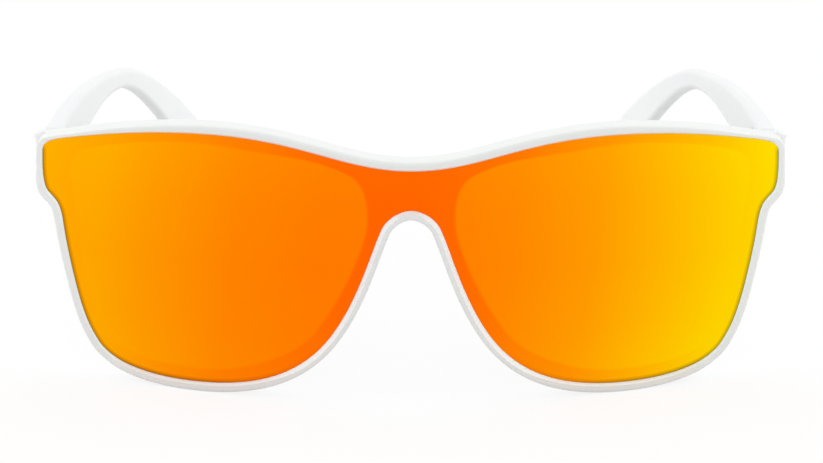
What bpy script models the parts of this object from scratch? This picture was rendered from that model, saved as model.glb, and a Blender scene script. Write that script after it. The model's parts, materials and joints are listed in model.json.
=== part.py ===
"""White wraparound sunglasses with a one-piece mirrored lens, built as separate pieces.

The glasses stand open on a table. +X is the right of the picture, +Y runs back along
the arms and +Z is up. Sizes are in metres. Curves are drawn from the middle of the lens
front, and world() sets them in the shared frame with the floor at zero.
"""
import math

import bpy
import numpy as np

# Main sizes
LENS_WIDTH = 0.1415
LENS_HEIGHT = 0.050
LENS_THICKNESS = 0.0018
RIM_WIDTH = 0.00185
ARM_REACH = 0.13385
WRAP_RADIUS = 0.140
FACE_RADIUS = 0.260

# Right half of the lens edge from the top middle round to the nose arch. Each row holds across
# and up in shares of the lens width and height, heading in degrees, reach before and after in
# shares of the lens width, rim width in shares of the widest rim, and steps to the next row.
LENS_EDGE = (
    (0.0000, 0.230, 0, 0.0000, 0.0898, 0.98, 8),
    (0.2657, 0.340, 0, 0.1258, 0.0855, 0.96, 7),
    (0.4580, 0.272, -13, 0.0396, 0.0332, 0.52, 6),
    (0.4996, 0.202, -88, 0.0113, 0.0096, 0.70, 2),
    (0.5003, 0.128, -92, 0.0081, 0.0081, 0.74, 2),
    (0.4964, 0.056, -112, 0.0090, 0.0074, 1.06, 4),
    (0.4777, -0.010, -110, 0.0120, 0.0191, 1.00, 5),
    (0.4580, -0.328, -102, 0.0855, 0.0488, 0.90, 4),
    (0.4304, -0.542, -121, 0.0148, 0.0346, 0.98, 8),
    (0.2898, -0.660, 179, 0.0686, 0.0777, 1.00, 9),
    (0.1001, -0.402, 122, 0.0841, 0.0629, 0.92, 9),
    (0.0386, 0.004, 114, 0.0339, 0.0170, 0.90, 6),
    (0.0000, 0.078, 180, 0.0140, 0.0000, 0.91, 0),
)
LENS_FOOT = 0.660
LENS_RINGS = (0.18, 0.42, 0.66, 0.88)
BRIDGE_STEPS = 3

# Right eye opening, a closed curve in the same shares
EYE_MIDDLE = (0.2544, 0.100)
EYE_EDGE = (
    (0.2375, 0.296, 7, 0.0827, 0.0834),
    (0.4410, 0.228, -26, 0.0276, 0.0113),
    (0.4587, 0.130, -91, 0.0134, 0.0254),
    (0.4495, -0.096, -91, 0.0389, 0.0551),
    (0.4113, -0.532, -141, 0.0382, 0.0290),
    (0.2890, -0.602, 181, 0.0594, 0.0601),
    (0.1293, -0.420, 127, 0.0431, 0.0565),
    (0.0573, 0.042, 91, 0.0382, 0.0226),
    (0.0820, 0.211, 25, 0.0226, 0.0544),
)
EYE_STEPS = 24
EYE_EDGE_ROUND = 0.0005

# How the lens sits in the rim
LENS_FIT = 0.0002
LENS_CHAMFER = 0.0003
SEAT_GAP = 0.0003
LEDGE_THICKNESS = 0.0020
SNAP_LIP = 0.00006
LIP_DEPTH = 0.0003
LIP_RISE = 0.00015

# Rim section: the half-round crest in shares of its width and height, then the back edge
RIM_PROUD = 0.0008
CREST = ((0.36, 0.92), (0.48, 1.00), (0.88, 0.84))
RIM_SHOULDER = 0.0005
BACK_EDGE = 0.00025
BACK_ROUND = 0.0008
BACK_LAND = 0.0020
REST_FLAT = 0.0001

# Nose bearings moulded on the back of the front
PAD_DEPTH = 0.0050
PAD_SPLAY = 0.0012
PAD_HALF_LENGTH = 0.0140
PAD_MIDDLE = -0.17
PAD_SLOPE = 0.8

# End pieces and the parting plane between them and the arms
END_LENGTH = 0.0088
END_PAST = 0.00125
END_BOTTOM = 0.058
END_TOP = 0.260
END_CORNERS = (0.0014, 0.0010, 0.0008, 0.0008)
END_BULGE = 0.0015
END_CHAMFER = 0.0003
END_ROOT_DEPTH = 0.0030
PARTING_GAP = 0.0003

# Arms, side view: back in shares of the reach, up in shares of the lens height, heading in
# degrees, reach before and after in shares of the arm reach
ARM_PATH = (
    (0.0000, 0.1438, 0, 0.0000, 0.3135),
    (0.5051, 0.1116, -7.5, 0.1422, 0.1823),
    (1.0000, -0.6690, -46, 0.1222, 0.0000),
)
ARM_STEPS = (15, 15)
ARM_TOE_IN = 0.0190
ARM_TOE_POWER = 2.2
ARM_HEIGHT = 0.0100
ARM_NECK = 0.0045
ARM_HOOK = 0.0123
ARM_TAPER_POWER = 1.56
ARM_FLARE = 0.97
ARM_THICKNESS = 0.0039
ARM_THIN = 0.0029
ARM_CORNER = 0.0012
CORNER_LIMIT = 0.42
SECTION_STEPS = 4
ARM_CROWN = 0.00025
CROWN_FULL = 0.0080
ARM_CHAMFER = 0.0003
TIP_ROUND = 0.0060
TIP_THIN = 0.35
TIP_STEPS = 6
TIP_PAST = 0.0018

# Hinges, measured from the axis: outward toward the arm, back along it, and up
HINGE_INSET = 0.0016
HINGE_LIFT = 0.0002
BARREL_RADIUS = 0.0013
BARREL_STEPS = 20
BARREL_HALF = 0.00095
BARREL_SPLIT = 0.0001
BORE_RADIUS = 0.0007
LEAF_INNER = 0.0013
LEAF_OUTER = 0.0021
LEAF_START = 0.0011
LEAF_CLEAR = 0.00035
FRAME_LEAF_END = 0.0052
ARM_LEAF_END = 0.0086
ARM_LEAF_HALF = 0.0026
BARB_HALF = 0.0015
BARB_DEPTH = 0.0015
BARB_TOOTH = 0.00025
BARB_ROOT = 0.0001
FRAME_BARB = (0.0023, 0.0043)
ARM_BARB = (0.0034, 0.0066)
POCKET_GAP = 0.0003
CUT_PAST = 0.0010

# Hinge screws
SHANK_RADIUS = 0.00062
SHANK_PAST = 0.0003
SHANK_POINT = 0.00015
HEAD_RADIUS = 0.0011
HEAD_HEIGHT = 0.0006
HEAD_EDGE = 0.00015
HEAD_GAP = 0.00008
SLOT_WIDTH = 0.00035
SLOT_DEPTH = 0.00028

# Places that follow from the sizes
LENS_SCALE = np.array((LENS_WIDTH, LENS_HEIGHT))
EYE_CENTRE = np.array(EYE_MIDDLE) * LENS_SCALE
SEAT_DEPTH = LENS_THICKNESS + SEAT_GAP
BACK_DEPTH = SEAT_DEPTH + LEDGE_THICKNESS
LENS_SIDE = LENS_WIDTH / 2
END_OUTER = LENS_SIDE + END_PAST
END_INNER = END_OUTER - ARM_THICKNESS
ARM_ACROSS = END_OUTER - ARM_THICKNESS / 2
PARTING_BACK = WRAP_RADIUS - math.sqrt(WRAP_RADIUS ** 2 - LENS_SIDE ** 2) + END_LENGTH
ARM_START = PARTING_BACK + PARTING_GAP / 2
AXIS_ACROSS = END_INNER - HINGE_INSET
HINGE_UP = ARM_PATH[0][1] * LENS_HEIGHT + HINGE_LIFT
FRAME_LEAF_HALF = 3 * BARREL_HALF + BARREL_SPLIT
FLOOR_DROP = LENS_FOOT * LENS_HEIGHT + RIM_WIDTH - REST_FLAT
CENTRE_BACK = (ARM_START + ARM_REACH + TIP_PAST - RIM_PROUD) / 2


def sag(across, up):
    """How far the lens front falls back from its middle."""
    side = WRAP_RADIUS - np.sqrt(WRAP_RADIUS ** 2 - across ** 2)
    return side + up ** 2 / (2 * FACE_RADIUS)


def world(across, back, up):
    """Places measured from the lens middle, set in the shared frame."""
    return np.stack([across, back - CENTRE_BACK, up + FLOOR_DROP], axis=-1)


def on_front(points, depth):
    """World points at a depth behind the lens front, kept above the floor."""
    across = points[:, 0]
    up = np.maximum(points[:, 1], -FLOOR_DROP)
    return world(across, sag(across, up) + depth, up)


def heading(degrees):
    """Unit direction in a plane."""
    return np.array([math.cos(math.radians(degrees)), math.sin(math.radians(degrees))])


def curve(start, end, scale, steps):
    """Points and directions between two rows of a drawn curve, without the last point."""
    p0 = np.array(start[:2]) * scale
    p3 = np.array(end[:2]) * scale
    p1 = p0 + start[4] * scale[0] * heading(start[2])
    p2 = p3 - end[3] * scale[0] * heading(end[2])
    t = (np.arange(steps) / steps)[:, None]
    points = (1 - t) ** 3 * p0 + 3 * (1 - t) ** 2 * t * p1 + 3 * (1 - t) * t ** 2 * p2 + t ** 3 * p3
    slopes = (1 - t) ** 2 * (p1 - p0) + 2 * (1 - t) * t * (p2 - p1) + t ** 2 * (p3 - p2)
    return points, slopes / np.linalg.norm(slopes, axis=1)[:, None]


def lens_edge():
    """Points, outward directions and rim widths along the right half of the lens edge."""
    points = []
    outward = []
    widths = []
    for start, end in zip(LENS_EDGE[:-1], LENS_EDGE[1:]):
        p, d = curve(start, end, LENS_SCALE, start[6])
        blend = np.arange(start[6]) / start[6]
        points.append(p)
        outward.append(np.stack([-d[:, 1], d[:, 0]], axis=1))
        widths.append(start[5] + (end[5] - start[5]) * blend)
    points.append(np.array([LENS_EDGE[-1][:2]]) * LENS_SCALE)
    outward.append(np.array([[0.0, -1.0]]))
    widths.append(np.array([LENS_EDGE[-1][5]]))
    return np.vstack(points), np.vstack(outward), np.concatenate(widths) * RIM_WIDTH


def with_bridge(points):
    """Closes a half outline with points up the middle plane, nose to top."""
    rise = np.linspace(points[-1, 1], points[0, 1], BRIDGE_STEPS + 2)[1:-1]
    return np.vstack([points, np.stack([np.zeros_like(rise), rise], axis=1)])


def eye_loop(targets, grow):
    """Eye opening points on the lines from the eye centre to the targets."""
    rows = EYE_EDGE + EYE_EDGE[:1]
    spans = [curve(a, b, LENS_SCALE, EYE_STEPS)[0] for a, b in zip(rows[:-1], rows[1:])]
    around = np.vstack(spans) - EYE_CENTRE
    angles = np.arctan2(around[:, 1], around[:, 0])
    order = np.argsort(angles)
    radii = np.linalg.norm(around, axis=1)[order]
    aim = targets - EYE_CENTRE
    turn = np.arctan2(aim[:, 1], aim[:, 0])
    reach = np.interp(turn, angles[order], radii, period=2 * math.pi) + grow
    return EYE_CENTRE + reach[:, None] * np.stack([np.cos(turn), np.sin(turn)], axis=1)


class Shell:
    """Vertices and faces of one mesh, gathered row by row."""

    def __init__(self):
        self.vertices = []
        self.faces = []

    def row(self, points):
        first = len(self.vertices)
        self.vertices.extend(tuple(p) for p in points)
        return list(range(first, len(self.vertices)))

    def strip(self, a, b, closed):
        count = len(a)
        for i in range(count if closed else count - 1):
            j = (i + 1) % count
            self.faces.append((a[i], a[j], b[j], b[i]))

    def fan(self, row, centre, flip):
        count = len(row)
        for i in range(count):
            j = (i + 1) % count
            self.faces.append((row[j], row[i], centre) if flip else (row[i], row[j], centre))

    def face(self, row, flip):
        self.faces.append(tuple(reversed(row)) if flip else tuple(row))

    def as_object(self, name, material, side=1, origin=(0.0, 0.0, 0.0)):
        """Makes the object, mirrored for the left side, about a given origin."""
        vertices = [(side * x, y, z) for x, y, z in self.vertices]
        faces = [tuple(reversed(f)) for f in self.faces] if side < 0 else self.faces
        moved = [(x - origin[0], y - origin[1], z - origin[2]) for x, y, z in vertices]
        mesh = bpy.data.meshes.new(name)
        mesh.from_pydata(moved, [], faces)
        mesh.materials.append(material)
        mesh.validate()
        made = bpy.data.objects.new(name, mesh)
        made.location = origin
        bpy.context.scene.collection.objects.link(made)
        return made


def make_material(name, colour, metallic, roughness):
    material = bpy.data.materials.new(name)
    material.use_nodes = True
    shader = material.node_tree.nodes["Principled BSDF"]
    shader.inputs["Base Color"].default_value = (*colour, 1.0)
    shader.inputs["Metallic"].default_value = metallic
    shader.inputs["Roughness"].default_value = roughness
    return material


def mirror(target):
    """Adds the left half of a piece whose right half is modelled."""
    modifier = target.modifiers.new("other half", "MIRROR")
    modifier.merge_threshold = 0.00001


def combine(target, tool, operation):
    """Joins or cuts a piece with a hidden tool body."""
    modifier = target.modifiers.new(tool.name, "BOOLEAN")
    modifier.operation = operation
    modifier.solver = "EXACT"
    modifier.object = tool
    tool.hide_render = True
    tool.display_type = "WIRE"


def build_lens(material):
    edge, outward, _ = lens_edge()
    shell = Shell()
    rim = with_bridge(edge - outward * LENS_CHAMFER)
    rings = [EYE_CENTRE + t * (rim - EYE_CENTRE) for t in LENS_RINGS] + [rim]
    front = [shell.row(on_front(r, 0.0)) for r in rings]
    wall_front = shell.row(on_front(edge, LENS_CHAMFER))
    wall_back = shell.row(on_front(edge, LENS_THICKNESS - LENS_CHAMFER))
    back = [shell.row(on_front(r, LENS_THICKNESS)) for r in rings]
    middle = EYE_CENTRE[None]
    front_middle = shell.row(on_front(middle, 0.0))[0]
    back_middle = shell.row(on_front(middle, LENS_THICKNESS))[0]
    count = len(edge)
    shell.fan(front[0], front_middle, True)
    for a, b in zip(front[:-1], front[1:]):
        shell.strip(a, b, True)
    shell.strip(front[-1][:count], wall_front, False)
    shell.strip(wall_front, wall_back, False)
    shell.strip(wall_back, back[-1][:count], False)
    for a, b in zip(back[1:], back[:-1]):
        shell.strip(a, b, True)
    shell.fan(back[0], back_middle, False)
    mirror(shell.as_object("shield_lens", material))


def pad_share(points):
    """How much of the nose bearing stands at each point of the edge, from 0 to 1."""
    reach = np.abs(points[:, 1] - PAD_MIDDLE * LENS_HEIGHT) / PAD_HALF_LENGTH
    share = (1 - np.clip(reach, 0, 1) ** 3) ** 2
    return np.where(points[:, 0] < EYE_CENTRE[0], share, 0.0)


def rim_rows(edge, outward, width):
    """Rim section round the half outline, from the seat over the crest to the back face."""
    pad = pad_share(edge)
    flat = np.zeros_like(width)
    fit = flat + LENS_FIT
    rear = width - PAD_SPLAY * pad
    deep = BACK_DEPTH + PAD_DEPTH * pad
    section = [(fit, flat + SEAT_DEPTH), (fit, flat + LIP_DEPTH), (flat - SNAP_LIP, flat - LIP_RISE)]
    for share, height in CREST:
        section.append((fit + share * (width - LENS_FIT), flat - height * RIM_PROUD))
    section += [
        (width, flat + RIM_SHOULDER),
        (rear, deep - BACK_ROUND),
        (rear - BACK_EDGE, deep - BACK_EDGE),
        (rear - BACK_ROUND, deep),
        (rear - BACK_LAND, BACK_DEPTH + PAD_SLOPE * PAD_DEPTH * pad),
    ]
    return [(edge + outward * out[:, None], depth) for out, depth in section]


def build_front(material):
    edge, outward, width = lens_edge()
    shell = Shell()
    section = rim_rows(edge, outward, width)
    rows = [shell.row(on_front(points, depth)) for points, depth in section]
    for a, b in zip(rows[:-1], rows[1:]):
        shell.strip(a, b, False)
    seat = with_bridge(section[0][0])
    rise = seat[len(edge):]
    seat_row = rows[0] + shell.row(on_front(rise, SEAT_DEPTH))
    back_rise = with_bridge(section[-1][0])[len(edge):]
    back_row = rows[-1] + shell.row(on_front(back_rise, BACK_DEPTH))
    eye_back = shell.row(on_front(eye_loop(seat, EYE_EDGE_ROUND), BACK_DEPTH))
    eye_wall = shell.row(on_front(eye_loop(seat, 0.0), BACK_DEPTH - EYE_EDGE_ROUND))
    eye_seat = shell.row(on_front(eye_loop(seat, 0.0), SEAT_DEPTH))
    shell.strip(back_row, eye_back, True)
    shell.strip(eye_back, eye_wall, True)
    shell.strip(eye_wall, eye_seat, True)
    shell.strip(eye_seat, seat_row, True)
    front = shell.as_object("front_frame", material)
    mirror(front)
    return front


def rounded_section(height, thick, corners):
    """Rounded section as outward and upward offsets, going round once from the top outer corner."""
    spots = ((1, 1, 90), (1, -1, 0), (-1, -1, -90), (-1, 1, 180))
    points = []
    for (out, up, start), radius in zip(spots, corners):
        radius = min(radius, CORNER_LIMIT * thick, CORNER_LIMIT * height)
        centre = np.array([out * (thick / 2 - radius), up * (height / 2 - radius)])
        for k in range(SECTION_STEPS + 1):
            points.append(centre + radius * heading(start - 90 * k / SECTION_STEPS))
        if (out, up) == (1, 1):
            points.append(np.array([thick / 2 + ARM_CROWN * min(1.0, height / CROWN_FULL), 0.0]))
    return np.array(points)


def build_end_piece(side, material):
    """Block that carries the frame half of a hinge, joined to the front and drawn down to the arm."""
    bottom = END_BOTTOM * LENS_HEIGHT
    top = END_TOP * LENS_HEIGHT
    root = rounded_section(top - bottom, ARM_THICKNESS, END_CORNERS) + (ARM_ACROSS, (top + bottom) / 2)
    middle = np.array((ARM_ACROSS, ARM_PATH[0][1] * LENS_HEIGHT))
    rear = rounded_section(ARM_HEIGHT, ARM_THICKNESS, [ARM_CORNER] * 4) + middle
    trim = 2 * END_CHAMFER
    end = rounded_section(ARM_HEIGHT - trim, ARM_THICKNESS - trim, [ARM_CORNER] * 4) + middle
    back = PARTING_BACK - PARTING_GAP / 2
    shell = Shell()
    hub = shell.row(on_front(root.mean(axis=0)[None], END_ROOT_DEPTH))[0]
    start = on_front(root, END_ROOT_DEPTH)
    stop = world(rear[:, 0], np.full(len(rear), back - END_CHAMFER), rear[:, 1])
    belly = (start + stop) / 2
    lift = (root[:, 1] - bottom) / (top - bottom)
    belly[:, 0] += END_BULGE * lift ** 3 * (belly[:, 0] - END_INNER) / ARM_THICKNESS
    face = world(end[:, 0], np.full(len(end), back), end[:, 1])
    rows = [shell.row(ring) for ring in (start, belly, stop, face)]
    shell.fan(rows[0], hub, True)
    for a, b in zip(rows[:-1], rows[1:]):
        shell.strip(a, b, True)
    shell.face(rows[-1], False)
    return shell.as_object("end_piece_tool", material, side)


def arm_stations():
    """Centre, direction, height and thickness along the arm in side view."""
    scale = np.array((ARM_REACH, LENS_HEIGHT))
    first, d_first = curve(ARM_PATH[0], ARM_PATH[1], scale, ARM_STEPS[0])
    second, d_second = curve(ARM_PATH[1], ARM_PATH[2], scale, ARM_STEPS[1])
    points = np.vstack([first, second, [ARM_PATH[2][:2] * scale]]) + (ARM_START, 0.0)
    along = np.vstack([d_first, d_second, [heading(ARM_PATH[2][2])]])
    steps = np.linalg.norm(np.diff(points, axis=0), axis=1)
    run = np.concatenate([[0.0], np.cumsum(steps)])
    bend = run[ARM_STEPS[0]]
    total = run[-1]
    taper = np.clip(run / bend, 0, 1)
    flare = np.clip((run - bend) / (total - bend) / ARM_FLARE, 0, 1)
    ease_down = (1 + np.cos(math.pi * taper ** ARM_TAPER_POWER)) / 2
    height = ARM_NECK + (ARM_HEIGHT - ARM_NECK) * ease_down
    height = height + (ARM_HOOK - ARM_NECK) * np.sin(flare * math.pi / 2) ** 2
    thick = ARM_THICKNESS + (ARM_THIN - ARM_THICKNESS) * taper
    return points, along, run, height, thick


def build_arm(side, material):
    points, along, run, height, thick = arm_stations()
    across = ARM_ACROSS - ARM_TOE_IN * ((points[:, 0] - ARM_START) / ARM_REACH) ** ARM_TOE_POWER
    total = run[-1]
    stops = np.concatenate([
        [0.0, ARM_CHAMFER],
        run[1:][run[1:] < total - TIP_ROUND],
        total - TIP_ROUND * (1 - np.sin(np.arange(TIP_STEPS) / TIP_STEPS * math.pi / 2)),
    ])
    shell = Shell()
    rows = []
    for stop in stops:
        back = np.interp(stop, run, points[:, 0])
        up = np.interp(stop, run, points[:, 1])
        out = np.interp(stop, run, across)
        ahead = np.array([np.interp(stop, run, along[:, 0]), np.interp(stop, run, along[:, 1])])
        ahead = ahead / np.linalg.norm(ahead)
        past = (stop - (total - TIP_ROUND)) / TIP_ROUND
        shrink = math.sqrt(max(0.0, 1 - max(0.0, past) ** 2))
        trim = 0.0 if stop > 0 else 2 * ARM_CHAMFER
        tall = np.interp(stop, run, height) * shrink - trim
        wide = np.interp(stop, run, thick) * (TIP_THIN + (1 - TIP_THIN) * shrink) - trim
        ring = rounded_section(tall, wide, [ARM_CORNER] * 4)
        rise = ring[:, 1]
        row_up = np.maximum(up + rise * ahead[0], -FLOOR_DROP)
        rows.append(shell.row(world(out + ring[:, 0], back - rise * ahead[1], row_up)))
    shell.face(rows[0], False)
    for a, b in zip(rows[:-1], rows[1:]):
        shell.strip(b, a, True)
    tip_up = np.maximum(points[-1:, 1], -FLOOR_DROP)
    tip = shell.row(world(across[-1:], points[-1:, 0], tip_up))[0]
    shell.fan(rows[-1], tip, True)
    return shell.as_object("temple_" + hand(side), material, side, hinge_axis(side))


def hand(side):
    return "right" if side > 0 else "left"


def hinge_axis(side):
    """World point on a hinge axis, in the middle of its barrels."""
    return tuple(world(np.array(side * AXIS_ACROSS), np.array(PARTING_BACK), np.array(HINGE_UP)))


def prism(shell, outline, bottom, top):
    """Adds an upright block over an outline measured from a hinge axis."""
    points = np.array(outline, dtype=float)
    area = np.sum(points[:, 0] * np.roll(points[:, 1], -1) - np.roll(points[:, 0], -1) * points[:, 1])
    if area < 0:
        points = points[::-1]
    out = AXIS_ACROSS + points[:, 0]
    back = PARTING_BACK + points[:, 1]
    low = shell.row(world(out, back, np.full(len(points), HINGE_UP + bottom)))
    high = shell.row(world(out, back, np.full(len(points), HINGE_UP + top)))
    shell.face(low, True)
    shell.strip(low, high, True)
    shell.face(high, False)


def rectangle(inner, outer, start, end):
    return [(inner, start), (outer, start), (outer, end), (inner, end)]


def barrel(direction):
    """Barrel outline with the web that runs from it to its leaf."""
    lead = math.degrees(math.asin(LEAF_CLEAR / BARREL_RADIUS))
    turns = np.linspace(lead, -270, BARREL_STEPS)
    points = [tuple(BARREL_RADIUS * heading(t)) for t in turns]
    points += [(LEAF_OUTER, BARREL_RADIUS), (LEAF_OUTER, LEAF_CLEAR)]
    return [(x, direction * y) for x, y in points]


def barb(reach, direction):
    """Root with two rows of teeth that holds a leaf in the plastic."""
    near, far = reach
    base = LEAF_OUTER - BARB_ROOT
    first, second, end = (base + BARB_DEPTH * k / 3 for k in (1, 2, 3))
    points = [
        (base, near), (first, near), (first, near - BARB_TOOTH), (second, near),
        (second, near - BARB_TOOTH), (end, near + BARB_TOOTH),
        (end, far - BARB_TOOTH), (second, far + BARB_TOOTH), (second, far),
        (first, far + BARB_TOOTH), (first, far), (base, far),
    ]
    return [(x, direction * y) for x, y in points]


def round_outline(radius):
    return [tuple(radius * heading(360 * k / BARREL_STEPS)) for k in range(BARREL_STEPS)]


def build_leaf(side, direction, material):
    """One hinge half: the frame half has two barrels, the arm half has the middle one."""
    of_arm = direction > 0
    half = ARM_LEAF_HALF if of_arm else FRAME_LEAF_HALF
    end = ARM_LEAF_END if of_arm else FRAME_LEAF_END
    reach = ARM_BARB if of_arm else FRAME_BARB
    name = ("temple_hinge_" if of_arm else "frame_hinge_") + hand(side)
    plate = Shell()
    prism(plate, rectangle(LEAF_INNER, LEAF_OUTER, direction * LEAF_START, direction * end), -half, half)
    leaf = plate.as_object(name, material, side, hinge_axis(side))
    parts = Shell()
    prism(parts, barb(reach, direction), -BARB_HALF, BARB_HALF)
    split = BARREL_HALF + BARREL_SPLIT
    spans = [(-BARREL_HALF, BARREL_HALF)] if of_arm else [(-half, -split), (split, half)]
    for bottom, top in spans:
        prism(parts, barrel(direction), bottom, top)
    combine(leaf, parts.as_object(name + "_barrel_tool", material, side), "UNION")
    bore = Shell()
    prism(bore, round_outline(BORE_RADIUS), -half - CUT_PAST, half + CUT_PAST)
    combine(leaf, bore.as_object(name + "_bore_tool", material, side), "DIFFERENCE")


def cut_pocket(target, side, direction, material):
    """Cuts the seat of a hinge half into the plastic."""
    of_arm = direction > 0
    half = (ARM_LEAF_HALF if of_arm else FRAME_LEAF_HALF) + POCKET_GAP
    end = (ARM_LEAF_END if of_arm else FRAME_LEAF_END) + POCKET_GAP
    near, far = ARM_BARB if of_arm else FRAME_BARB
    grow = BARB_TOOTH + POCKET_GAP
    name = target.name + "_" + hand(side)
    plate = Shell()
    deep = LEAF_OUTER + POCKET_GAP
    prism(plate, rectangle(LEAF_INNER - CUT_PAST, deep, -direction * CUT_PAST, direction * end), -half, half)
    pocket = plate.as_object(name + "_pocket_tool", material, side)
    root = Shell()
    root_deep = LEAF_OUTER - BARB_ROOT + BARB_DEPTH + POCKET_GAP
    span = rectangle(LEAF_INNER, root_deep, direction * (near - grow), direction * (far + grow))
    prism(root, span, -BARB_HALF - POCKET_GAP, BARB_HALF + POCKET_GAP)
    combine(pocket, root.as_object(name + "_barb_tool", material, side), "UNION")
    combine(target, pocket, "DIFFERENCE")


def build_screw(side, material):
    """Slotted screw on a hinge axis, with its head on the upper barrel."""
    foot = -FRAME_LEAF_HALF - SHANK_PAST
    seat = FRAME_LEAF_HALF + HEAD_GAP
    top = seat + HEAD_HEIGHT
    section = (
        (SHANK_RADIUS - SHANK_POINT, foot),
        (SHANK_RADIUS, foot + SHANK_POINT),
        (SHANK_RADIUS, seat),
        (HEAD_RADIUS, seat),
        (HEAD_RADIUS, top - HEAD_EDGE),
        (HEAD_RADIUS - HEAD_EDGE, top),
    )
    shell = Shell()
    rows = []
    for radius, height in section:
        ring = np.array(round_outline(radius))
        up = np.full(BARREL_STEPS, HINGE_UP + height)
        rows.append(shell.row(world(AXIS_ACROSS + ring[:, 0], PARTING_BACK + ring[:, 1], up)))
    shell.face(rows[0], True)
    for a, b in zip(rows[:-1], rows[1:]):
        shell.strip(a, b, True)
    shell.face(rows[-1], False)
    screw = shell.as_object("hinge_screw_" + hand(side), material, side, hinge_axis(side))
    slot = Shell()
    reach = HEAD_RADIUS + CUT_PAST
    prism(slot, rectangle(-SLOT_WIDTH / 2, SLOT_WIDTH / 2, -reach, reach), top - SLOT_DEPTH, top + CUT_PAST)
    combine(screw, slot.as_object(screw.name + "_slot_tool", material, side), "DIFFERENCE")


def main():
    for old in list(bpy.data.objects):
        bpy.data.objects.remove(old, do_unlink=True)
    plastic = make_material("white_plastic", (0.87, 0.87, 0.86), 0.0, 0.3)
    mirror_coat = make_material("orange_mirror", (1.0, 0.25, 0.0), 0.6, 0.1)
    steel = make_material("hinge_steel", (0.55, 0.56, 0.58), 1.0, 0.3)
    front = build_front(plastic)
    build_lens(mirror_coat)
    for side in (1, -1):
        combine(front, build_end_piece(side, plastic), "UNION")
    for side in (1, -1):
        cut_pocket(front, side, -1, plastic)
        arm = build_arm(side, plastic)
        cut_pocket(arm, side, 1, plastic)
        build_leaf(side, -1, steel)
        build_leaf(side, 1, steel)
        build_screw(side, steel)


main()
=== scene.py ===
"""Looks for the white wraparound sunglasses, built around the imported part.

The moulded front, the lens and the arms are drawn again from the part's own curves with
finer steps and smooth shading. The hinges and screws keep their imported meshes.
"""
import json
import math

import bpy
import numpy as np
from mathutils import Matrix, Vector

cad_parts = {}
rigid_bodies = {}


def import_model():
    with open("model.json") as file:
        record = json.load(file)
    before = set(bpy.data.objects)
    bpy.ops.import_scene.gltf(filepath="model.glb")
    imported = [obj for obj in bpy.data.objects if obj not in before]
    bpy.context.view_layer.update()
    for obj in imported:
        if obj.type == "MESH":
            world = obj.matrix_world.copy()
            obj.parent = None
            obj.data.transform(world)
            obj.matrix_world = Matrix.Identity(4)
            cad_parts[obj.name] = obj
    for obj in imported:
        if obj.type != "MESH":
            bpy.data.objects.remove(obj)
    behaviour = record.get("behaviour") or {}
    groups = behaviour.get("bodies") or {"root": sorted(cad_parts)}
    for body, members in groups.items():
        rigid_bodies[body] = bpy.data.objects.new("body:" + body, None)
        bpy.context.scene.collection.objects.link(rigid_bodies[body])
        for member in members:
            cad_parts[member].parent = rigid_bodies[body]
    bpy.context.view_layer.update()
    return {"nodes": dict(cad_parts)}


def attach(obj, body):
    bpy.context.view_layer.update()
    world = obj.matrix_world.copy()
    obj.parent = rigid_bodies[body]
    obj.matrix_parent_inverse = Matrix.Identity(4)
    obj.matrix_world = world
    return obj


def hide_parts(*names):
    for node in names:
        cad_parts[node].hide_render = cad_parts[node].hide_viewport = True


# Main sizes in metres, as in the part's source
LENS_WIDTH = 0.1415
LENS_HEIGHT = 0.050
LENS_THICKNESS = 0.0018
RIM_WIDTH = 0.00185
ARM_REACH = 0.13385
WRAP_RADIUS = 0.140
FACE_RADIUS = 0.260

# Right half of the lens edge: across, up, heading, reach before, reach after, rim width, steps
LENS_EDGE = (
    (0.0000, 0.230, 0, 0.0000, 0.0898, 0.98, 8),
    (0.2657, 0.340, 0, 0.1258, 0.0855, 0.96, 7),
    (0.4580, 0.272, -13, 0.0396, 0.0332, 0.52, 6),
    (0.4996, 0.202, -88, 0.0113, 0.0096, 0.70, 2),
    (0.5003, 0.128, -92, 0.0081, 0.0081, 0.74, 2),
    (0.4964, 0.056, -112, 0.0090, 0.0074, 1.06, 4),
    (0.4777, -0.010, -110, 0.0120, 0.0191, 1.00, 5),
    (0.4580, -0.328, -102, 0.0855, 0.0488, 0.90, 4),
    (0.4304, -0.542, -121, 0.0148, 0.0346, 0.98, 8),
    (0.2898, -0.660, 179, 0.0686, 0.0777, 1.00, 9),
    (0.1001, -0.402, 122, 0.0841, 0.0629, 0.92, 9),
    (0.0386, 0.004, 114, 0.0339, 0.0170, 0.90, 6),
    (0.0000, 0.078, 180, 0.0140, 0.0000, 0.91, 0),
)
LENS_FOOT = 0.660
EDGE_DENSITY = 5
BRIDGE_STEPS = 18

# Right eye opening, a closed curve in the same shares
EYE_MIDDLE = (0.2544, 0.100)
EYE_EDGE = (
    (0.2375, 0.296, 7, 0.0827, 0.0834),
    (0.4410, 0.228, -26, 0.0276, 0.0113),
    (0.4587, 0.130, -91, 0.0134, 0.0254),
    (0.4495, -0.096, -91, 0.0389, 0.0551),
    (0.4113, -0.532, -141, 0.0382, 0.0290),
    (0.2890, -0.602, 181, 0.0594, 0.0601),
    (0.1293, -0.420, 127, 0.0431, 0.0565),
    (0.0573, 0.042, 91, 0.0382, 0.0226),
    (0.0820, 0.211, 25, 0.0226, 0.0544),
)
EYE_STEPS = 60
EYE_EDGE_ROUND = 0.0005

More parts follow.
